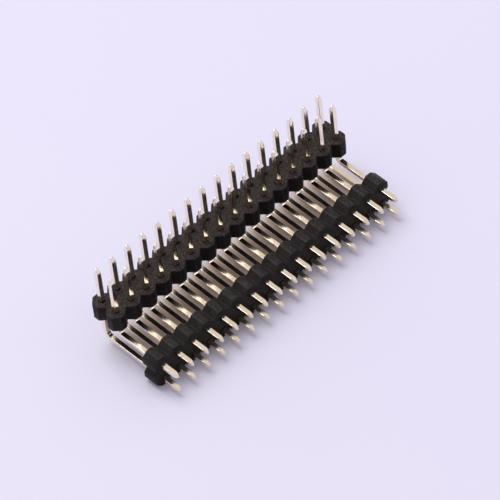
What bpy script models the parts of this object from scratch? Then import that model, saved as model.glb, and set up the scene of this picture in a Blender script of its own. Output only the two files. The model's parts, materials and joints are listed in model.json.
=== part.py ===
"""Right-angle pin header with two insulators: two rows of square pins, bent once, in two moulded carriers.

The upright carrier holds the mating ends, which point up. The board carrier stands on edge in front of it
and holds the solder tails, which point forwards. Both carriers have the same outline. The inner pins come
from the front row and run above, and the outer pins come from the back row, bend lower and run below.

Frame: X runs along the strip, +Z is up along the mating ends and -Y is forwards along the solder tails.
The origin is at the bottom centre of the whole part, level with the foot of the board carrier.
"""

import bmesh
import bpy
from math import pi
from mathutils import Matrix, Vector

MM = 0.001

COLUMNS = 16
PITCH = 2.54 * MM
ROW_SPACING = 2.54 * MM

CARRIER_HEIGHT = 2.54 * MM
CARRIER_MARGIN = 1.27 * MM
CELL_CHAMFER = 0.84 * MM
EDGE_CHAMFER = 0.14 * MM
BOARD_CARRIER_THICKNESS = 2.3 * MM
CARRIER_GAP = 4.2 * MM
BOARD_CARRIER_DROP = 2.8 * MM

PIN_SIDE = 0.64 * MM
HOLE_CLEARANCE = 0.05 * MM
MATING_LENGTH = 6.0 * MM
TAIL_LENGTH = 2.9 * MM
TIP_LENGTH = 0.7 * MM
TIP_SIDE = 0.26 * MM
BEND_RADIUS = 0.9 * MM
BEND_STEPS = 5

PLASTIC_COLOUR = (0.018, 0.018, 0.020, 1.0)
GOLD_COLOUR = (0.83, 0.66, 0.38, 1.0)

# The board carrier's foot is the lowest point, and the whole depth is centred on Y.
LOWER_RUN_Z = CARRIER_MARGIN
UPPER_RUN_Z = LOWER_RUN_Z + ROW_SPACING
BOARD_CARRIER_TOP_Z = UPPER_RUN_Z + CARRIER_MARGIN
UPRIGHT_TOP_Z = BOARD_CARRIER_TOP_Z + BOARD_CARRIER_DROP
UPRIGHT_BASE_Z = UPRIGHT_TOP_Z - CARRIER_HEIGHT
MATING_TIP_Z = UPRIGHT_TOP_Z + MATING_LENGTH

UPRIGHT_DEPTH = ROW_SPACING + 2 * CARRIER_MARGIN
TOTAL_DEPTH = UPRIGHT_DEPTH + CARRIER_GAP + BOARD_CARRIER_THICKNESS + TAIL_LENGTH
TAIL_TIP_Y = -TOTAL_DEPTH / 2
BOARD_FRONT_Y = TAIL_TIP_Y + TAIL_LENGTH
BOARD_CENTRE_Y = BOARD_FRONT_Y + BOARD_CARRIER_THICKNESS / 2
FRONT_ROW_Y = BOARD_FRONT_Y + BOARD_CARRIER_THICKNESS + CARRIER_GAP + CARRIER_MARGIN
BACK_ROW_Y = FRONT_ROW_Y + ROW_SPACING


def clear_scene():
    """Remove whatever the file opened with."""
    for item in list(bpy.data.objects):
        bpy.data.objects.remove(item, do_unlink=True)


def new_material(name, colour, roughness, metallic):
    """A Principled material with the part's plain colour."""
    material = bpy.data.materials.new(name)
    material.use_nodes = True
    shader = material.node_tree.nodes["Principled BSDF"]
    shader.inputs["Base Color"].default_value = colour
    shader.inputs["Roughness"].default_value = roughness
    shader.inputs["Metallic"].default_value = metallic
    material.diffuse_color = colour
    return material


def new_object(name, mesh, material, collection):
    """Put a finished mesh into the part's collection."""
    piece = bpy.data.objects.new(name, mesh)
    piece.data.materials.append(material)
    collection.objects.link(piece)
    return piece


def column_x(column):
    """X of a column's pin axis, counted from 0 at the left end."""
    return (column - (COLUMNS - 1) / 2) * PITCH


def cell_corners(column):
    """The corners that one cell adds on the front long side, from its left notch to its right chamfer."""
    edge = -(ROW_SPACING / 2 + CARRIER_MARGIN)
    left = column_x(column) - PITCH / 2
    right = left + PITCH
    return [(left, edge + CELL_CHAMFER), (left + CELL_CHAMFER, edge), (right - CELL_CHAMFER, edge)]


def carrier_outline():
    """The plan outline of the whole strip, anticlockwise.

    Every pin sits in its own octagon, so neighbours meet in a V-shaped notch, also between the two rows at
    each end. The second half of the outline is the first one turned round by half a turn.
    """
    end = COLUMNS * PITCH / 2
    half = []
    for column in range(COLUMNS):
        half.extend(cell_corners(column))
    half.append((end, CELL_CHAMFER - ROW_SPACING / 2 - CARRIER_MARGIN))
    half.append((end, -CELL_CHAMFER))
    half.append((end - CELL_CHAMFER, 0.0))
    half.append((end, CELL_CHAMFER))
    return half + [(-x, -y) for x, y in half]


def pin_hole(column, row):
    """The square hole that one pin is pressed through, as plan corners."""
    half = PIN_SIDE / 2 + HOLE_CLEARANCE
    x = column_x(column)
    y = row * ROW_SPACING / 2
    return [(x - half, y - half), (x + half, y - half), (x + half, y + half), (x - half, y + half)]


def inset_outline(corners, distance):
    """The outline with every straight side moved inwards by a distance."""
    inset = []
    for index, (x, y) in enumerate(corners):
        before = corners[index - 1]
        after = corners[(index + 1) % len(corners)]
        arriving = Vector((x - before[0], y - before[1])).normalized()
        leaving = Vector((after[0] - x, after[1] - y)).normalized()
        inwards = Vector((-arriving.y - leaving.y, arriving.x + leaving.x)).normalized()
        reach = distance / inwards.dot(Vector((-leaving.y, leaving.x)))
        inset.append((x + inwards.x * reach, y + inwards.y * reach))
    return inset


def add_ring(shape, corners, z):
    """A closed ring of vertices at one height."""
    return [shape.verts.new((x, y, z)) for x, y in corners]


def add_wall(shape, lower, upper):
    """Four-sided faces between two rings of the same corners."""
    for index in range(len(lower)):
        other = (index + 1) % len(lower)
        shape.faces.new((lower[index], lower[other], upper[other], upper[index]))


def ring_edges(shape, ring):
    """The edges that join a ring's neighbours."""
    count = len(ring)
    return [shape.edges.get((ring[index], ring[(index + 1) % count])) for index in range(count)]


def carrier_mesh(name, thickness):
    """A moulded carrier, lying flat on its own centre: chamfered outline with a hole for each pin."""
    outline = carrier_outline()
    drawn_in = inset_outline(outline, EDGE_CHAMFER)
    face_z = thickness / 2
    wall_z = face_z - EDGE_CHAMFER
    shape = bmesh.new()
    levels = ((drawn_in, -face_z), (outline, -wall_z), (outline, wall_z), (drawn_in, face_z))
    rings = [add_ring(shape, corners, z) for corners, z in levels]
    for lower, upper in zip(rings, rings[1:]):
        add_wall(shape, lower, upper)
    rims = [ring_edges(shape, rings[0]), ring_edges(shape, rings[-1])]
    for column in range(COLUMNS):
        for row in (-1, 1):
            hole = pin_hole(column, row)
            foot = add_ring(shape, hole, -face_z)
            head = add_ring(shape, hole, face_z)
            add_wall(shape, foot, head)
            rims[0] += ring_edges(shape, foot)
            rims[1] += ring_edges(shape, head)
    for rim in rims:
        bmesh.ops.triangle_fill(shape, edges=rim, use_beauty=True)
    bmesh.ops.recalc_face_normals(shape, faces=shape.faces)
    mesh = bpy.data.meshes.new(name)
    shape.to_mesh(mesh)
    shape.free()
    return mesh


def move_face(face, offset, scale=1.0):
    """Shift a face's corners and, for a tip, draw them in around its centre."""
    centre = face.calc_center_median()
    for vertex in face.verts:
        vertex.co = centre + (vertex.co - centre) * scale + offset


def extrude_end(shape, face, offset, scale=1.0):
    """Carry a pin on from one end face, and return the new end face."""
    made = bmesh.ops.extrude_discrete_faces(shape, faces=[face])
    end = made["faces"][0]
    move_face(end, offset, scale)
    return end


def bend_end(shape, face, centre_z, y):
    """Turn the pin's lower end forwards by a quarter circle, and return the new end face."""
    axis_point = Vector((0.0, y - BEND_RADIUS, centre_z))
    turn = Matrix.Rotation(-pi / 2 / BEND_STEPS, 4, "X")
    about = Matrix.Translation(axis_point) @ turn @ Matrix.Translation(-axis_point)
    for _ in range(BEND_STEPS):
        made = bmesh.ops.extrude_discrete_faces(shape, faces=[face])
        face = made["faces"][0]
        bmesh.ops.transform(shape, matrix=about, verts=face.verts)
    return face


def pin_mesh(name, row_y, run_z):
    """A square pin bent once: pointed mating end, quarter bend and pointed solder tail."""
    bend_top_z = run_z + BEND_RADIUS
    shoulder_z = MATING_TIP_Z - TIP_LENGTH
    upright = shoulder_z - bend_top_z
    shape = bmesh.new()
    placed = Matrix.Translation((0.0, row_y, bend_top_z + upright / 2))
    sized = Matrix.Diagonal((PIN_SIDE, PIN_SIDE, upright, 1.0))
    bmesh.ops.create_cube(shape, size=1.0, matrix=placed @ sized)

    shape.faces.ensure_lookup_table()
    top = max(shape.faces, key=lambda face: face.calc_center_median().z)
    bottom = min(shape.faces, key=lambda face: face.calc_center_median().z)
    point = TIP_SIDE / PIN_SIDE
    extrude_end(shape, top, Vector((0.0, 0.0, TIP_LENGTH)), point)

    end = bend_end(shape, bottom, bend_top_z, row_y)
    run = (TAIL_TIP_Y + TIP_LENGTH) - (row_y - BEND_RADIUS)
    end = extrude_end(shape, end, Vector((0.0, run, 0.0)))
    extrude_end(shape, end, Vector((0.0, -TIP_LENGTH, 0.0)), point)

    bmesh.ops.recalc_face_normals(shape, faces=shape.faces)
    mesh = bpy.data.meshes.new(name)
    shape.to_mesh(mesh)
    shape.free()
    return mesh


def add_carriers(collection, plastic):
    """The upright carrier lies flat, and the board carrier has the same outline but stands on edge."""
    upright_mesh = carrier_mesh("upright_insulator", CARRIER_HEIGHT)
    upright = new_object("upright_insulator", upright_mesh, plastic, collection)
    upright.location = (0.0, (FRONT_ROW_Y + BACK_ROW_Y) / 2, (UPRIGHT_TOP_Z + UPRIGHT_BASE_Z) / 2)
    board_mesh = carrier_mesh("board_insulator", BOARD_CARRIER_THICKNESS)
    board = new_object("board_insulator", board_mesh, plastic, collection)
    board.rotation_euler = (pi / 2, 0.0, 0.0)
    board.location = (0.0, BOARD_CENTRE_Y, (LOWER_RUN_Z + UPPER_RUN_Z) / 2)


def add_pins(collection, gold):
    """One inner and one outer pin in each column."""
    rows = (("inner_pin", FRONT_ROW_Y, UPPER_RUN_Z), ("outer_pin", BACK_ROW_Y, LOWER_RUN_Z))
    for kind, row_y, run_z in rows:
        for column in range(COLUMNS):
            name = f"{kind}_{column + 1:02d}"
            pin = new_object(name, pin_mesh(name, row_y, run_z), gold, collection)
            pin.location.x = column_x(column)


def main():
    clear_scene()
    collection = bpy.data.collections.new("pin_header")
    bpy.context.scene.collection.children.link(collection)
    plastic = new_material("black_plastic", PLASTIC_COLOUR, 0.45, 0.0)
    gold = new_material("gold_plating", GOLD_COLOUR, 0.28, 1.0)
    add_carriers(collection, plastic)
    add_pins(collection, gold)


main()
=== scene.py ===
"""Looks of a right-angle pin header: two black break-away strips on thirty-two bent square gold pins.

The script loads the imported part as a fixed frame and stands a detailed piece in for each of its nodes.
Each strip is modelled as one column and repeated, and each kind of pin is modelled once and copied.
"""

from __future__ import annotations

import json
import logging
import math
from collections.abc import Callable, Iterable
from dataclasses import dataclass, field
from enum import Enum

import bpy
from mathutils import Matrix, Vector

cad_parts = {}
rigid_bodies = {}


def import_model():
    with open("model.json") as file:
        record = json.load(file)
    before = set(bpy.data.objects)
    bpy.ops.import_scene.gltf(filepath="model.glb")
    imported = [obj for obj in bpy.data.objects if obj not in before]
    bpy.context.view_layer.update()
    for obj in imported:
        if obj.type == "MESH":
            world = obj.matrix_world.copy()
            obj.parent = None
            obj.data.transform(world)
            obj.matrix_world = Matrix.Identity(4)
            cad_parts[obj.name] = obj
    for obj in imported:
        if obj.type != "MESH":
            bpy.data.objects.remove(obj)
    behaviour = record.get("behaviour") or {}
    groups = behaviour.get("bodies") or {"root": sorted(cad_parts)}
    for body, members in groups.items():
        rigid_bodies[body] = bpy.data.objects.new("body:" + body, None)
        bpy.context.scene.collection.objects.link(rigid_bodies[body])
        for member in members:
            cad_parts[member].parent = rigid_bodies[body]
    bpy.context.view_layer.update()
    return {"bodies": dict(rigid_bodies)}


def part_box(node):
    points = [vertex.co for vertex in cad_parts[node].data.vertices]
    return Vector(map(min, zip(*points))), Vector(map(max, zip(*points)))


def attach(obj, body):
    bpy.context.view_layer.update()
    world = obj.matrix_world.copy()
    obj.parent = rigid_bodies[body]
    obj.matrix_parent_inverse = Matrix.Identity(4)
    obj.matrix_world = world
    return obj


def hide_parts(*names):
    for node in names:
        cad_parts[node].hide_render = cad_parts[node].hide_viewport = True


MM = 0.001
LOG = logging.getLogger("pin_header")

# A face looks along an axis when its normal has more than this much of it.
FACING = 0.9

# Most values of a noise texture lie in this range.
NOISE_RANGE = (0.3, 0.7)

Colour = tuple[float, float, float]
Place = tuple[float, float, float]
Span = tuple[float, float]
FaceTest = Callable[[Vector, Vector], bool]
EdgeTest = Callable[[Vector, Vector], bool]
PointTest = Callable[[Vector], bool]


class Row(Enum):
    """The two rows of pins, with the stem of their nodes' names."""

    INNER = "inner_pin"
    OUTER = "outer_pin"


class Side(Enum):
    """The two strips, with their nodes' names: one lies flat and one stands on edge at the board."""

    UPRIGHT = "upright_insulator"
    BOARD = "board_insulator"


# Small modelling helpers


def deselect_all() -> None:
    """Leave object mode with nothing selected."""
    if bpy.context.object and bpy.context.object.mode != "OBJECT":
        bpy.ops.object.mode_set(mode="OBJECT")
    bpy.ops.object.select_all(action="DESELECT")


def make_active(piece: bpy.types.Object) -> None:
    """Select one piece and nothing else.

    Args:
        piece: The piece that the next operators act on.
    """
    deselect_all()
    piece.select_set(True)
    bpy.context.view_layer.objects.active = piece


def settle(piece: bpy.types.Object) -> None:
    """Write a piece's place, turn and size into its mesh.

    Args:
        piece: The piece whose object then sits at the origin.
    """
    make_active(piece)
    bpy.ops.object.transform_apply(location=True, rotation=True, scale=True)


def add_block(name: str, centre: Vector, size: Vector) -> bpy.types.Object:
    """Add a block to be shaped further.

    Args:
        name: The piece's name.
        centre: The block's centre in metres.
        size: The block's three side lengths in metres.

    Returns:
        The new piece, with its place in its mesh.
    """
    deselect_all()
    bpy.ops.mesh.primitive_cube_add(size=1.0, location=centre, scale=size)
    piece = bpy.context.object
    piece.name = name
    piece.data.name = name
    settle(piece)
    return piece


def start_picking(piece: bpy.types.Object, kind: str) -> None:
    """Choose what kind of element is picked, and leave none of them selected.

    Args:
        piece: The piece to edit.
        kind: VERT, EDGE or FACE.
    """
    make_active(piece)
    bpy.ops.object.mode_set(mode="EDIT")
    bpy.ops.mesh.select_mode(type=kind)
    bpy.ops.mesh.select_all(action="DESELECT")
    bpy.ops.object.mode_set(mode="OBJECT")


def pick_faces(piece: bpy.types.Object, wanted: FaceTest) -> None:
    """Enter edit mode with some faces selected.

    Args:
        piece: The piece to edit.
        wanted: A test of a face's centre and normal.
    """
    start_picking(piece, "FACE")
    for face in piece.data.polygons:
        face.select = wanted(face.center, face.normal)
    bpy.ops.object.mode_set(mode="EDIT")


def pick_edges(piece: bpy.types.Object, wanted: EdgeTest) -> None:
    """Enter edit mode with some edges selected.

    Args:
        piece: The piece to edit.
        wanted: A test of an edge's two ends.
    """
    start_picking(piece, "EDGE")
    points = piece.data.vertices
    for edge in piece.data.edges:
        first, last = (points[index].co for index in edge.vertices)
        edge.select = wanted(first, last)
    bpy.ops.object.mode_set(mode="EDIT")


def pick_points(piece: bpy.types.Object, wanted: PointTest) -> None:
    """Enter edit mode with some points selected.

    Args:
        piece: The piece to edit.
        wanted: A test of a point's place.
    """
    start_picking(piece, "VERT")
    for point in piece.data.vertices:
        point.select = wanted(point.co)
    bpy.ops.object.mode_set(mode="EDIT")


def edit_all(piece: bpy.types.Object) -> None:
    """Enter edit mode with a whole piece selected.

    Args:
        piece: The piece to edit.
    """
    make_active(piece)
    bpy.ops.object.mode_set(mode="EDIT")
    bpy.ops.mesh.select_all(action="SELECT")


def cut(piece: bpy.types.Object, point: Vector, normal: Vector) -> None:
    """Score a line of new edges right round a piece.

    Args:
        piece: The piece to cut.
        point: A point on the cutting plane.
        normal: The plane's normal.
    """
    edit_all(piece)
    bpy.ops.mesh.bisect(plane_co=point, plane_no=normal, use_fill=False)
    bpy.ops.object.mode_set(mode="OBJECT")


def tidy_shell(piece: bpy.types.Object, merge: float) -> None:
    """Merge doubled points, drop inner faces and turn every face outwards.

    Args:
        piece: The piece to clean.
        merge: The distance under which points are one, in metres.
    """
    edit_all(piece)
    bpy.ops.mesh.remove_doubles(threshold=merge)
    bpy.ops.mesh.select_mode(type="FACE")
    bpy.ops.mesh.select_all(action="DESELECT")
    bpy.ops.mesh.select_interior_faces()
    bpy.ops.mesh.delete(type="ONLY_FACE")
    bpy.ops.mesh.select_all(action="SELECT")
    bpy.ops.mesh.normals_make_consistent(inside=False)
    bpy.ops.object.mode_set(mode="OBJECT")


def round_edges(piece: bpy.types.Object, width: float, segments: int, angle: float) -> None:
    """Round the edges that are sharper than an angle.

    Args:
        piece: The piece to finish.
        width: The rounding's width in metres.
        segments: How many faces the rounding has.
        angle: The angle in degrees from which an edge is rounded.
    """
    make_active(piece)
    bevel = piece.modifiers.new("rounding", "BEVEL")
    bevel.width = width
    bevel.segments = segments
    bevel.limit_method = "ANGLE"
    bevel.angle_limit = math.radians(angle)
    bpy.ops.object.modifier_apply(modifier=bevel.name)


def smooth_shading(piece: bpy.types.Object, angle: float) -> None:
    """Shade a piece smooth except across its sharp edges.

    Args:
        piece: The piece to shade.
        angle: The angle in degrees from which an edge stays sharp.
    """
    make_active(piece)
    bpy.ops.object.shade_smooth_by_angle(angle=math.radians(angle))


def dress(piece: bpy.types.Object, *materials: bpy.types.Material) -> None:
    """Give a piece its materials, one slot each.

    Args:
        piece: The piece to dress.
        materials: The materials in the order of their slots.
    """
    piece.data.materials.clear()
    for material in materials:
        piece.data.materials.append(material)


# Finishes


class NodeSheet:
    """A node tree with short calls for adding and joining nodes."""

    # A colour mix's sockets are reached by number, because its other kinds of mix use the same names.
    MIX_FACTOR = 0
    MIX_FIRST = 6
    MIX_LAST = 7
    MIX_RESULT = 2

    def __init__(self, tree: bpy.types.NodeTree) -> None:
        """Hold the tree that nodes are added to."""
        self.tree = tree

    def add(self, kind: str, **settings: object) -> bpy.types.Node:
        """Add a node.

        Args:
            kind: The node's type name.
            settings: Properties of the node, set by name.

        Returns:
            The new node.
        """
        node = self.tree.nodes.new(kind)
        for name, value in settings.items():
            setattr(node, name, value)
        return node

    def feed(self, target: bpy.types.NodeSocket, source: object) -> None:
        """Link an output to an input, or set the input to a plain value.

        Args:
            target: The input.
            source: An output, or a value of the input's own kind.
        """
        if isinstance(source, bpy.types.NodeSocket):
            self.tree.links.new(source, target)
        else:
            target.default_value = source

    def fill(self, node: bpy.types.Node, **inputs: object) -> bpy.types.Node:
        """Feed a node's inputs, with spaces in their names written as underscores.

        Args:
            node: The node to feed.
            inputs: An output or a plain value for each input, by name.

        Returns:
            The same node.
        """
        for name, source in inputs.items():
            self.feed(node.inputs[name.replace("_", " ")], source)
        return node

    def place(self, kind: str) -> bpy.types.NodeSocket:
        """One kind of texture coordinates."""
        return self.add("ShaderNodeTexCoord").outputs[kind]

    def split(self, vector: bpy.types.NodeSocket) -> bpy.types.NodeOutputs:
        """The X, Y and Z outputs of a vector, by name."""
        return self.fill(self.add("ShaderNodeSeparateXYZ"), Vector=vector).outputs

    def effect(self, tree: bpy.types.NodeTree, **inputs: object) -> bpy.types.NodeOutputs:
        """Place a shader group.

        Args:
            tree: The group's tree.
            inputs: An output or a plain value for each of its inputs, by name.

        Returns:
            The group's outputs, by name.
        """
        return self.fill(self.add("ShaderNodeGroup", node_tree=tree), **inputs).outputs

    def noise(
        self,
        where: bpy.types.NodeSocket,
        scale: bpy.types.NodeSocket | float,
        detail: float,
        roughness: float,
    ) -> bpy.types.NodeSocket:
        """Add a noise texture.

        Args:
            where: The coordinates.
            scale: Features per metre.
            detail: How many finer layers it has.
            roughness: How strong the finer layers are.

        Returns:
            The noise's value.
        """
        node = self.add("ShaderNodeTexNoise")
        self.fill(node, Vector=where, Scale=scale, Detail=detail, Roughness=roughness)
        return node.outputs["Fac"]

    def spread(
        self, source: bpy.types.NodeSocket, found: Span, wanted: Span = (0.0, 1.0)
    ) -> bpy.types.NodeSocket:
        """Map a range of values to another one.

        Args:
            source: The value to map.
            found: The start and end of its range.
            wanted: What the start and the end become.

        Returns:
            The mapped value, held between the two ends.
        """
        node = self.fill(self.add("ShaderNodeMapRange"), Value=source)
        self.fill(node, From_Min=found[0], From_Max=found[1], To_Min=wanted[0], To_Max=wanted[1])
        return node.outputs["Result"]

    def blend(
        self,
        factor: bpy.types.NodeSocket,
        first: bpy.types.NodeSocket | Colour,
        last: bpy.types.NodeSocket | Colour,
    ) -> bpy.types.NodeSocket:
        """Mix two colours.

        Args:
            factor: How much of the second colour there is.
            first: A colour, or an output that gives one.
            last: A colour, or an output that gives one.

        Returns:
            The mixed colour.
        """
        node = self.add("ShaderNodeMix", data_type="RGBA")
        self.feed(node.inputs[self.MIX_FACTOR], factor)
        for index, colour in ((self.MIX_FIRST, first), (self.MIX_LAST, last)):
            plain = not isinstance(colour, bpy.types.NodeSocket)
            self.feed(node.inputs[index], (*colour, 1.0) if plain else colour)
        return node.outputs[self.MIX_RESULT]

    def maths(self, operation: str, *terms: bpy.types.NodeSocket | float) -> bpy.types.NodeSocket:
        """Work out a number.

        Args:
            operation: The sum's kind, as the node names it.
            terms: An output or a plain number for each input.

        Returns:
            The number.
        """
        node = self.add("ShaderNodeMath", operation=operation)
        for target, term in zip(node.inputs, terms):
            self.feed(target, term)
        return node.outputs["Value"]

    def bump(
        self,
        height: bpy.types.NodeSocket,
        strength: float,
        depth: float,
        under: bpy.types.NodeSocket | None = None,
    ) -> bpy.types.NodeSocket:
        """Turn a height into a bumped normal.

        Args:
            height: The height.
            strength: How much of the bump shows.
            depth: The height's full depth in metres.
            under: A normal that the bump is laid over, if there is one.

        Returns:
            The bumped normal.
        """
        node = self.fill(self.add("ShaderNodeBump"), Strength=strength, Distance=depth, Height=height)
        if under is not None:
            self.feed(node.inputs["Normal"], under)
        return node.outputs["Normal"]


def new_group(
    name: str, inputs: dict[str, float], outputs: tuple[str, ...]
) -> tuple[NodeSheet, bpy.types.NodeOutputs, bpy.types.NodeInputs]:
    """Start a shader group with named values in and out.

    Args:
        name: The group's name.
        inputs: The input names with their usual values.
        outputs: The output names.

    Returns:
        The group's sheet, the values that it is given and the values that it puts out.
    """
    tree = bpy.data.node_groups.new(name, "ShaderNodeTree")
    for label, usual in inputs.items():
        socket = tree.interface.new_socket(name=label, in_out="INPUT", socket_type="NodeSocketFloat")
        socket.default_value = usual
    for label in outputs:
        tree.interface.new_socket(name=label, in_out="OUTPUT", socket_type="NodeSocketFloat")
    sheet = NodeSheet(tree)
    return sheet, sheet.add("NodeGroupInput").outputs, sheet.add("NodeGroupOutput").inputs


@dataclass
class EffectGroups:
    """The surface effects that more than one material uses.

    Film is how much of the dust lies between its specks.
    """

    speck_range: Span = (0.50, 0.74)
    film: float = 0.14
    upward_range: Span = (0.2, 0.95)
    grain: bpy.types.NodeTree = field(init=False)
    dust: bpy.types.NodeTree = field(init=False)

    def __post_init__(self) -> None:
        """Build both groups."""
        self.grain = self.build_grain()
        self.dust = self.build_dust()

    def build_grain(self) -> bpy.types.NodeTree:
        """Fine unevenness of a surface: a height for bumps and a slow variation for its tone.

        Returns:
            The group's tree.
        """
        usual = {"Scale": 9000.0, "Drift": 400.0}
        sheet, given, out = new_group("surface_grain", usual, ("Height", "Tone"))
        where = sheet.place("Object")
        fine = sheet.noise(where, given["Scale"], detail=2.0, roughness=0.6)
        slow = sheet.noise(where, given["Drift"], detail=3.0, roughness=0.55)
        sheet.feed(out["Height"], fine)
        sheet.feed(out["Tone"], sheet.spread(slow, NOISE_RANGE))
        return sheet.tree

    def build_dust(self) -> bpy.types.NodeTree:
        """Specks and a thin film that lie on faces looking up.

        Returns:
            The group's tree.
        """
        usual = {"Amount": 0.3, "Speck Scale": 2500.0}
        sheet, given, out = new_group("settled_dust", usual, ("Mask",))
        specks = sheet.noise(sheet.place("Object"), given["Speck Scale"], detail=4.0, roughness=0.7)
        lying = sheet.spread(specks, self.speck_range, (self.film, 1.0))
        normal = sheet.split(sheet.add("ShaderNodeNewGeometry").outputs["Normal"])
        upwards = sheet.spread(normal["Z"], self.upward_range)
        both = sheet.maths("MULTIPLY", lying, upwards)
        sheet.feed(out["Mask"], sheet.maths("MULTIPLY", both, given["Amount"]))
        return sheet.tree


def start_material(name: str) -> tuple[bpy.types.Material, NodeSheet, bpy.types.Node]:
    """Start a material on a Principled shader.

    Args:
        name: The material's name.

    Returns:
        The material, its node sheet and its shader.
    """
    material = bpy.data.materials.new(name)
    material.use_nodes = True
    shader = material.node_tree.nodes["Principled BSDF"]
    return material, NodeSheet(material.node_tree), shader


@dataclass(frozen=True)
class MouldedPlastic:
    """Black glass-filled plastic as it comes out of the mould, with a fine grain and settled dust.

    The scales are features per metre.
    """

    name: str
    colour: Colour = (0.0065, 0.0055, 0.0055)
    pale: Colour = (0.013, 0.011, 0.011)
    dust_colour: Colour = (0.172, 0.154, 0.160)
    dust: float = 0.45
    roughness: Span = (0.45, 0.62)
    specular: float = 0.11
    grain_scale: float = 11000.0
    drift_scale: float = 700.0
    speck_scale: float = 4200.0
    bump_strength: float = 0.35
    bump_depth: float = 0.012 * MM

    def build(self, groups: EffectGroups) -> bpy.types.Material:
        """Make the material.

        Args:
            groups: The shared surface effects.

        Returns:
            The finished material.
        """
        material, sheet, shader = start_material(self.name)
        grain = sheet.effect(groups.grain, Scale=self.grain_scale, Drift=self.drift_scale)
        dust = sheet.effect(groups.dust, Amount=self.dust, Speck_Scale=self.speck_scale)
        body = sheet.blend(grain["Tone"], self.colour, self.pale)
        sheet.feed(shader.inputs["Base Color"], sheet.blend(dust["Mask"], body, self.dust_colour))
        sheet.feed(shader.inputs["Roughness"], sheet.spread(grain["Height"], NOISE_RANGE, self.roughness))
        sheet.feed(shader.inputs["Normal"], sheet.bump(grain["Height"], self.bump_strength, self.bump_depth))
        sheet.feed(shader.inputs["Specular IOR Level"], self.specular)
        return material


@dataclass(frozen=True)
class GoldPlate:
    """Thin bright gold over drawn square wire, with fine lines along the wire and slightly duller patches.

    The scales are features per metre. The lines' stretch packs them close along X and draws them out along
    Y and Z, as the wire runs.
    """

    name: str = "gold_plate"
    colour: Colour = (0.965, 0.895, 0.79)
    deep: Colour = (0.90, 0.80, 0.655)
    dust_colour: Colour = (0.62, 0.58, 0.54)
    dust: float = 0.12
    roughness: Span = (0.10, 0.18)
    grain_scale: float = 14000.0
    drift_scale: float = 900.0
    speck_scale: float = 6000.0
    line_scale: float = 900.0
    line_stretch: Place = (30.0, 0.6, 0.6)
    line_strength: float = 0.05
    grain_strength: float = 0.04
    bump_depth: float = 0.003 * MM

    def build(self, groups: EffectGroups) -> bpy.types.Material:
        """Make the material.

        Args:
            groups: The shared surface effects.

        Returns:
            The finished material.
        """
        material, sheet, shader = start_material(self.name)
        stretched = sheet.add("ShaderNodeMapping")
        sheet.fill(stretched, Vector=sheet.place("Object"), Scale=self.line_stretch)
        lines = sheet.noise(stretched.outputs["Vector"], self.line_scale, detail=3.0, roughness=0.6)
        grain = sheet.effect(groups.grain, Scale=self.grain_scale, Drift=self.drift_scale)
        dust = sheet.effect(groups.dust, Amount=self.dust, Speck_Scale=self.speck_scale)
        plate = sheet.blend(grain["Tone"], self.deep, self.colour)
        sheet.feed(shader.inputs["Base Color"], sheet.blend(dust["Mask"], plate, self.dust_colour))
        sheet.feed(shader.inputs["Roughness"], sheet.spread(lines, NOISE_RANGE, self.roughness))
        sheet.feed(shader.inputs["Metallic"], 1.0)
        lined = sheet.bump(lines, self.line_strength, self.bump_depth)
        grained = sheet.bump(grain["Height"], self.grain_strength, self.bump_depth, lined)
        sheet.feed(shader.inputs["Normal"], grained)
        return material


@dataclass(frozen=True)
class Band:
    """A soft-edged band across one axis, in metres: full up to inner from its centre, gone at outer."""

    axis: str
    centre: float
    inner: float
    outer: float

    def mask(self, sheet: NodeSheet, where: bpy.types.NodeOutputs) -> bpy.types.NodeSocket:
        """Work out how far a place is inside the band.

        Args:
            sheet: The sheet to work on.
            where: The place's X, Y and Z outputs.

        Returns:
            One inside the band and nothing outside it.
        """
        away = sheet.maths("ABSOLUTE", sheet.maths("SUBTRACT", where[self.axis], self.centre))
        return sheet.spread(away, (self.inner, self.outer), (1.0, 0.0))


@dataclass(frozen=True)
class PaleFloor:
    """A smooth pale lavender card, with a painted pool of warm shade under the pins that stands in for the
    shade there and the light that the gold throws on it.
    """

    name: str = "pale_card"
    colour: Colour = (0.845, 0.828, 0.985)
    warm: Colour = (0.865, 0.848, 0.975)
    warm_range: Span = (-0.035, 0.035)
    # Painted shade under the pins, warmed to stand in for the light that the gold throws on the card; it
    # fills the two bands.
    painted_warm_shade: Colour = (0.74, 0.63, 0.56)
    painted_warm_shade_bands: tuple[Band, Band] = (
        Band("X", centre=0.0011, inner=0.0174, outer=0.0202),
        Band("Y", centre=0.0023, inner=0.0029, outer=0.0048),
    )
    cloud_shade: float = 0.985
    cloud_share: float = 0.5
    cloud_scale: float = 12.0
    roughness: float = 0.9
    specular: float = 0.1

    def build(self, groups: EffectGroups) -> bpy.types.Material:
        """Make the material.

        Args:
            groups: The shared surface effects.

        Returns:
            The finished material.
        """
        material, sheet, shader = start_material(self.name)
        grain = sheet.effect(groups.grain, Drift=self.cloud_scale)
        where = sheet.split(sheet.place("Object"))
        drift = sheet.blend(sheet.spread(where["X"], self.warm_range), self.warm, self.colour)
        cloud = tuple(channel * self.cloud_shade for channel in self.colour)
        share = sheet.spread(grain["Tone"], (0.0, 1.0), (0.0, self.cloud_share))
        tone = sheet.blend(share, drift, cloud)
        # The painted warm shade and gold light, full inside both bands.
        painted_shade_pool = sheet.maths("MULTIPLY", *(band.mask(sheet, where) for band in self.painted_warm_shade_bands))
        sheet.feed(shader.inputs["Base Color"], sheet.blend(painted_shade_pool, tone, self.painted_warm_shade))
        sheet.feed(shader.inputs["Roughness"], self.roughness)
        sheet.feed(shader.inputs["Specular IOR Level"], self.specular)
        return material


# The object's own pieces


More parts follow.
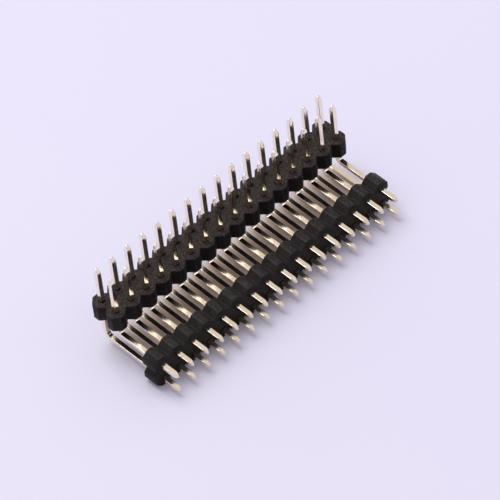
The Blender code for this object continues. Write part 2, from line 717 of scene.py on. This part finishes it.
@dataclass
class BreakAwayStrip:
    """A moulded strip of octagon cells, one for each pin, with V notches where it breaks.

    The strip is modelled lying flat on its own centre, then turned and moved to its place. Lengths are in
    metres and angles in degrees, and joint_reach is a share of a column.
    """

    side: Side
    thickness: float
    centre: Vector
    columns: int
    pitch: float
    row_spacing: float = 2.54 * MM
    margin: float = 1.27 * MM
    chamfer: float = 0.84 * MM
    pin_hole: float = 0.67 * MM
    mouth: float = 0.71 * MM
    rounding: float = 0.11 * MM
    rounding_segments: int = 3
    rounding_slot: int = 1
    sharp_angle: float = 25.0
    smooth_angle: float = 35.0
    flat_angle: float = 0.5
    merge: float = 0.004 * MM
    reach: float = 0.01 * MM
    joint_reach: float = 0.05

    @property
    def end(self) -> float:
        """How far the strip's end is from its middle."""
        return self.columns * self.pitch / 2

    @property
    def depth(self) -> float:
        """The strip's width across its two rows."""
        return self.row_spacing + 2 * self.margin

    @property
    def rows(self) -> Span:
        """Y of the two rows of pins."""
        return -self.row_spacing / 2, self.row_spacing / 2

    def column(self) -> bpy.types.Object:
        """Model the first column: a block with cut corners, scored for its pin holes.

        Returns:
            The column at the left end of the strip.
        """
        x = -(self.columns - 1) / 2 * self.pitch
        across = Vector((1.0, 0.0, 0.0))
        along = Vector((0.0, 1.0, 0.0))
        size = Vector((self.pitch, self.depth, self.thickness))
        piece = add_block(self.side.value + "_moulding", Vector((x, 0.0, 0.0)), size)
        pick_edges(piece, lambda first, last: abs(first.z - last.z) > self.thickness / 2)
        bpy.ops.mesh.bevel(offset=self.chamfer, offset_type="OFFSET", segments=1, affect="EDGES")
        bpy.ops.object.mode_set(mode="OBJECT")
        for y in (-self.chamfer, 0.0, self.chamfer):
            cut(piece, Vector((x, y, 0.0)), along)
        for offset in (-self.mouth / 2, self.mouth / 2):
            cut(piece, Vector((x + offset, 0.0, 0.0)), across)
            for row in self.rows:
                cut(piece, Vector((x, row + offset, 0.0)), along)
        for row in self.rows:
            self.open_hole(piece, Vector((x, row, 0.0)))
        return piece

    def open_hole(self, piece: bpy.types.Object, axis: Vector) -> None:
        """Sink a chamfered square mouth into both faces and join the two by a square hole.

        Args:
            piece: The column.
            axis: A point on the pin's axis.
        """

        def at_mouth(centre: Vector, normal: Vector) -> bool:
            """True for the scored square around the pin's axis."""
            return abs(normal.z) > FACING and (centre.xy - axis.xy).length < self.mouth / 4

        pick_faces(piece, at_mouth)
        slope = (self.mouth - self.pin_hole) / 2
        bpy.ops.mesh.inset(thickness=slope, depth=-slope, use_individual=True)
        bpy.ops.mesh.bridge_edge_loops()
        bpy.ops.object.mode_set(mode="OBJECT")

    def repeat(self, piece: bpy.types.Object) -> None:
        """Repeat the column along the strip and join the copies into one moulding.

        Args:
            piece: The first column.
        """
        make_active(piece)
        array = piece.modifiers.new("columns", "ARRAY")
        array.count = self.columns
        array.use_relative_offset = False
        array.use_constant_offset = True
        array.constant_offset_displace = (self.pitch, 0.0, 0.0)
        bpy.ops.object.modifier_apply(modifier=array.name)
        pick_faces(piece, self.is_shut_in)
        bpy.ops.mesh.delete(type="ONLY_FACE")
        bpy.ops.object.mode_set(mode="OBJECT")
        tidy_shell(piece, self.merge)

    def is_shut_in(self, centre: Vector, normal: Vector) -> bool:
        """True for a face inside the strip, where two columns meet."""
        inside = abs(centre.x) < self.end - self.pitch / 2
        return abs(normal.x) > FACING and inside and self.at_joint(centre.x)

    def at_joint(self, x: float) -> bool:
        """True where X is a boundary between two columns."""
        steps = x / self.pitch + self.columns / 2
        return abs(steps - round(steps)) < self.joint_reach

    def at_end(self, place: Vector, sign: float) -> bool:
        """True for a point halfway across the end face on the side of a sign."""
        return abs(place.x - sign * self.end) < self.reach and abs(place.y) < self.reach

    def notch_ends(self, piece: bpy.types.Object) -> None:
        """Draw the middle of each end face inwards, so the two rows are notched apart there too.

        Args:
            piece: The joined strip.
        """
        for sign in (-1.0, 1.0):
            pick_points(piece, lambda place, sign=sign: self.at_end(place, sign))
            bpy.ops.transform.translate(value=(-sign * self.chamfer, 0.0, 0.0))
            bpy.ops.object.mode_set(mode="OBJECT")

    def at_pin(self, place: Vector) -> bool:
        """Tell whether a place is close round the axis of a pin, where the holes' own edges are.

        Args:
            place: A place on the joined strip.

        Returns:
            True when it is.
        """
        across = place.x / self.pitch + self.columns / 2 - 0.5
        sideways = (across - round(across)) * self.pitch
        return math.hypot(sideways, abs(place.y) - self.row_spacing / 2) < self.mouth

    def round_outline(self, piece: bpy.types.Object) -> None:
        """Round the strip's outer edges and leave the pin holes crisp.

        Args:
            piece: The joined strip, with its second material slot ready for the rounding.
        """
        start_picking(piece, "EDGE")
        bpy.ops.object.mode_set(mode="EDIT")
        bpy.ops.mesh.edges_select_sharp(sharpness=math.radians(self.sharp_angle))
        bpy.ops.object.mode_set(mode="OBJECT")
        points = piece.data.vertices
        sharp = [edge for edge in piece.data.edges if edge.select]
        outer = {edge.index for edge in sharp if not self.at_pin(points[edge.vertices[0]].co)}
        LOG.info("%s: %d outer edges rounded of %d sharp", piece.name, len(outer), len(sharp))
        for point in points:
            point.select = False
        for face in piece.data.polygons:
            face.select = False
        for edge in piece.data.edges:
            edge.select = edge.index in outer
        bpy.ops.object.mode_set(mode="EDIT")
        bpy.ops.mesh.bevel(
            offset=self.rounding, segments=self.rounding_segments, affect="EDGES", material=self.rounding_slot
        )
        bpy.ops.object.mode_set(mode="OBJECT")

    def build(self, body: bpy.types.Material, edge: bpy.types.Material) -> bpy.types.Object:
        """Model and dress the strip.

        Args:
            body: The plastic of its faces.
            edge: The plastic along its rounded edges.

        Returns:
            The finished piece.
        """
        piece = self.column()
        self.repeat(piece)
        self.notch_ends(piece)
        dress(piece, body, edge)
        edit_all(piece)
        bpy.ops.mesh.dissolve_limited(angle_limit=math.radians(self.flat_angle))
        bpy.ops.object.mode_set(mode="OBJECT")
        self.round_outline(piece)
        if self.side is Side.BOARD:
            piece.rotation_euler = (math.pi / 2, 0.0, 0.0)
        piece.location = self.centre
        settle(piece)
        smooth_shading(piece, self.smooth_angle)
        return piece


@dataclass
class SquarePin:
    """A square wire with a coined point at each end, bent once by a quarter turn.

    Lengths are in metres and angles in degrees. Blend is how far the bend's shading reaches past the bend.
    """

    row: Row
    row_y: float
    run_z: float
    tip_z: float
    tail_y: float
    side: float
    bend_radius: float = 0.9 * MM
    bend_steps: int = 14
    tip_length: float = 0.7 * MM
    tip_side: float = 0.26 * MM
    waist_side: float = 0.53 * MM
    rounding: float = 0.040 * MM
    rounding_segments: int = 2
    sharp_angle: float = 20.0
    smooth_angle: float = 7.2
    blend: float = 0.08 * MM
    merge: float = 0.001 * MM

    def carry_on(self, offset: Vector, scale: float = 1.0) -> None:
        """Extrude the selected end face along the wire.

        Args:
            offset: How far the new end is moved.
            scale: The new end's size against the old one.
        """
        bpy.ops.mesh.extrude_region_move(TRANSFORM_OT_translate={"value": offset})
        if scale != 1.0:
            bpy.ops.transform.resize(value=(scale, scale, scale))

    def point(self, offset: Vector) -> None:
        """Coin the selected end face into a point that starts gently and ends steeper.

        Args:
            offset: The whole point's length and direction.
        """
        self.carry_on(offset / 2, self.waist_side / self.side)
        self.carry_on(offset / 2, self.tip_side / self.waist_side)

    def build(self, gold: bpy.types.Material) -> bpy.types.Object:
        """Model and dress the pin at X = 0.

        Args:
            gold: The plating.

        Returns:
            The finished piece.
        """
        bend_top = self.run_z + self.bend_radius
        bend_end = self.row_y - self.bend_radius
        shoulder = self.tip_z - self.tip_length
        centre = Vector((0.0, self.row_y, (bend_top + shoulder) / 2))
        size = Vector((self.side, self.side, shoulder - bend_top))
        piece = add_block(self.row.value + "_wire", centre, size)
        pick_faces(piece, lambda centre, normal: normal.z > FACING)
        self.point(Vector((0.0, 0.0, self.tip_length)))
        bpy.ops.object.mode_set(mode="OBJECT")
        pick_faces(piece, lambda centre, normal: normal.z < -FACING)
        pivot = (0.0, bend_end, bend_top)
        bpy.ops.mesh.spin(steps=self.bend_steps, angle=math.pi / 2, center=pivot, axis=(1.0, 0.0, 0.0))
        self.carry_on(Vector((0.0, (self.tail_y + self.tip_length) - bend_end, 0.0)))
        self.point(Vector((0.0, -self.tip_length, 0.0)))
        bpy.ops.object.mode_set(mode="OBJECT")
        tidy_shell(piece, self.merge)
        # The bend blends into the straight lengths over a hair's breadth, so these stay flat as mirrors.
        cut(piece, Vector((0.0, bend_end - self.blend, self.run_z)), Vector((0.0, 1.0, 0.0)))
        cut(piece, Vector((0.0, self.row_y, bend_top + self.blend)), Vector((0.0, 0.0, 1.0)))
        dress(piece, gold)
        round_edges(piece, self.rounding, self.rounding_segments, self.sharp_angle)
        settle(piece)
        smooth_shading(piece, self.smooth_angle)
        return piece


@dataclass
class PinHeader:
    """The whole header: two strips and two rows of pins, with their sizes as the frame has them."""

    body: str
    columns: int = 16
    pitch: float = 2.54 * MM
    groups: EffectGroups = field(default_factory=EffectGroups)
    gold: GoldPlate = GoldPlate()
    upright: MouldedPlastic = MouldedPlastic(
        "black_moulding_dusty",
        dust_colour=(0.168, 0.137, 0.121),
        dust=0.90,
    )
    # The same plastic as the upright strip, painted warmer and lighter all over: a painted warm reflection
    # and extra light standing in for what its front face catches.
    board: MouldedPlastic = MouldedPlastic(
        "black_moulding",
        colour=(0.0105, 0.0078, 0.0062),
        pale=(0.019, 0.0145, 0.0118),
        dust_colour=(0.150, 0.148, 0.158),
    )
    edge: MouldedPlastic = MouldedPlastic(
        "black_moulding_edge",
        colour=(0.010, 0.009, 0.009),
        pale=(0.017, 0.0155, 0.0155),
        roughness=(0.40, 0.54),
        specular=0.18,
    )

    def strips(self) -> list[bpy.types.Object]:
        """Build both strips in the places of their nodes.

        Returns:
            The two pieces.
        """
        made = []
        faces = {Side.UPRIGHT: self.upright.build(self.groups), Side.BOARD: self.board.build(self.groups)}
        edge = self.edge.build(self.groups)
        for side in Side:
            low, high = (Vector(corner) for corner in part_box(side.value))
            thickness = high.z - low.z if side is Side.UPRIGHT else high.y - low.y
            strip = BreakAwayStrip(side, thickness, (low + high) / 2, self.columns, self.pitch)
            piece = strip.build(faces[side], edge)
            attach(piece, self.body)
            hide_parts(side.value)
            LOG.info("%s: %d faces", piece.name, len(piece.data.polygons))
            made.append(piece)
        return made

    def pins(self) -> list[bpy.types.Object]:
        """Build one pin of each row and copy it along the strip.

        Returns:
            The thirty-two pieces.
        """
        made = []
        gold = self.gold.build(self.groups)
        for row in Row:
            low, high = (Vector(corner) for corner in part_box(f"{row.value}_01"))
            side = high.x - low.x
            pin = SquarePin(row, high.y - side / 2, low.z + side / 2, high.z, low.y, side)
            master = pin.build(gold)
            for column in range(self.columns):
                piece = master if column == self.columns - 1 else master.copy()
                if piece is not master:
                    piece.data = master.data.copy()
                    bpy.context.scene.collection.objects.link(piece)
                made.append((piece, row, column))
        for piece, row, column in made:
            x = (column - (self.columns - 1) / 2) * self.pitch
            piece.data.transform(Matrix.Translation((x, 0.0, 0.0)))
            piece.name = f"{row.value}_wire_{column + 1:02d}"
            piece.data.name = piece.name
            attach(piece, self.body)
            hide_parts(f"{row.value}_{column + 1:02d}")
        LOG.info("pins: %d pieces of %d faces", len(made), len(made[0][0].data.polygons))
        return [piece for piece, _, _ in made]


# Floor, lamps and camera


@dataclass(frozen=True)
class Lamp:
    """A soft square lamp, with its place and side in metres and its power in watts."""

    name: str
    place: Place
    side: float
    watts: float
    colour: Colour

    def hang(self, aim: Vector) -> None:
        """Hang the lamp.

        Args:
            aim: What it looks at.
        """
        light = bpy.data.lights.new(self.name, "AREA")
        light.shape = "SQUARE"
        light.size = self.side
        light.energy = self.watts
        light.color = self.colour
        holder = bpy.data.objects.new(self.name, light)
        place = Vector(self.place)
        holder.location = place
        holder.rotation_euler = (aim - place).to_track_quat("-Z", "Y").to_euler()
        bpy.context.scene.collection.objects.link(holder)


@dataclass(frozen=True)
class Viewpoint:
    """Where the photograph was taken from, as it was fitted to the photo.

    The lens, the sensor and the place are in millimetres, and the clip distances are in metres. Right and
    up are the picture's own axes.
    """

    lens: float = 323.990
    sensor: float = 36.0
    clip_start: float = 0.01
    clip_end: float = 20.0
    place: Place = (-227.527, -285.594, 430.149)
    right: Place = (0.71535, -0.69385, -0.08274)
    up: Place = (0.56834, 0.50885, 0.64657)

    def set_up(self) -> None:
        """Put the scene's camera there."""
        data = bpy.data.cameras.new("camera")
        data.lens = self.lens
        data.sensor_width = self.sensor
        data.clip_start = self.clip_start
        data.clip_end = self.clip_end
        holder = bpy.data.objects.new("camera", data)
        right = Vector(self.right).normalized()
        back = right.cross(Vector(self.up)).normalized()
        turn = Matrix((right, back.cross(right), back)).transposed()
        holder.matrix_world = Matrix.Translation(Vector(self.place) * MM) @ turn.to_4x4()
        bpy.context.scene.collection.objects.link(holder)
        bpy.context.scene.camera = holder


@dataclass
class Studio:
    """A pale card, the light of a room, two soft lamps and the camera."""

    groups: EffectGroups
    card_side: float = 6.0
    card_drop: float = 0.01 * MM
    low_sky: Colour = (0.76, 0.74, 0.83)
    high_sky: Colour = (0.86, 0.845, 0.96)
    height_range: Span = (0.0, 0.9)
    left_sky: Colour = (0.56, 0.53, 0.56)
    left_range: Span = (-0.45, -0.05)
    front_sky: Colour = (0.42, 0.39, 0.41)
    front_range: Span = (-0.55, 0.15)
    wall: Colour = (0.71, 0.64, 0.59)
    wall_direction: Place = (0.403, 0.506, 0.762)
    wall_range: Span = (0.82, 0.95)
    aim: Place = (0.0, 0.0, 0.005)
    key: Lamp = Lamp("key", place=(-0.02, 0.30, 0.74), side=0.45, watts=2.75, colour=(0.97, 0.985, 1.0))
    window: Lamp = Lamp(
        "window", place=(0.282, -0.354, 0.538), side=0.10, watts=0.10, colour=(1.0, 0.98, 0.95)
    )
    viewpoint: Viewpoint = Viewpoint()

    def floor(self) -> None:
        """Lay a wide pale card under the object."""
        deselect_all()
        bpy.ops.mesh.primitive_plane_add(size=self.card_side, location=(0.0, 0.0, -self.card_drop))
        card = bpy.context.object
        card.name = "floor"
        dress(card, PaleFloor().build(self.groups))
        settle(card)

    def room(self) -> None:
        """Light the room from all round, darker in front and on the left, with a warmer patch behind."""
        world = bpy.data.worlds.new("room")
        bpy.context.scene.world = world
        world.use_nodes = True
        sheet = NodeSheet(world.node_tree)
        where = sheet.place("Generated")
        axes = sheet.split(where)
        even = sheet.blend(sheet.spread(axes["Z"], self.height_range), self.low_sky, self.high_sky)
        side = sheet.blend(sheet.spread(axes["X"], self.left_range), self.left_sky, even)
        towards = sheet.add("ShaderNodeVectorMath", operation="DOT_PRODUCT")
        sheet.feed(towards.inputs[0], where)
        sheet.feed(towards.inputs[1], self.wall_direction)
        near = sheet.spread(towards.outputs["Value"], self.wall_range)
        rear = sheet.blend(near, side, self.wall)
        sky = sheet.blend(sheet.spread(axes["Y"], self.front_range), self.front_sky, rear)
        sheet.fill(world.node_tree.nodes["Background"], Color=sky, Strength=1.0)

    def build(self) -> None:
        """Set up everything around the object.

        The small window lamp stands in front, and the pins show it as bright beads.
        """
        bpy.context.scene.view_settings.view_transform = "Standard"
        self.floor()
        self.room()
        for lamp in (self.key, self.window):
            lamp.hang(Vector(self.aim))
        self.viewpoint.set_up()


def main() -> None:
    """Load the frame, build the looks and log the pieces' face counts."""
    logging.basicConfig(level=logging.INFO, format="%(name)s %(message)s")
    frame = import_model()
    header = PinHeader(body=next(iter(frame["bodies"])))
    header.strips()
    header.pins()
    Studio(header.groups).build()


if __name__ == "__main__":
    main()
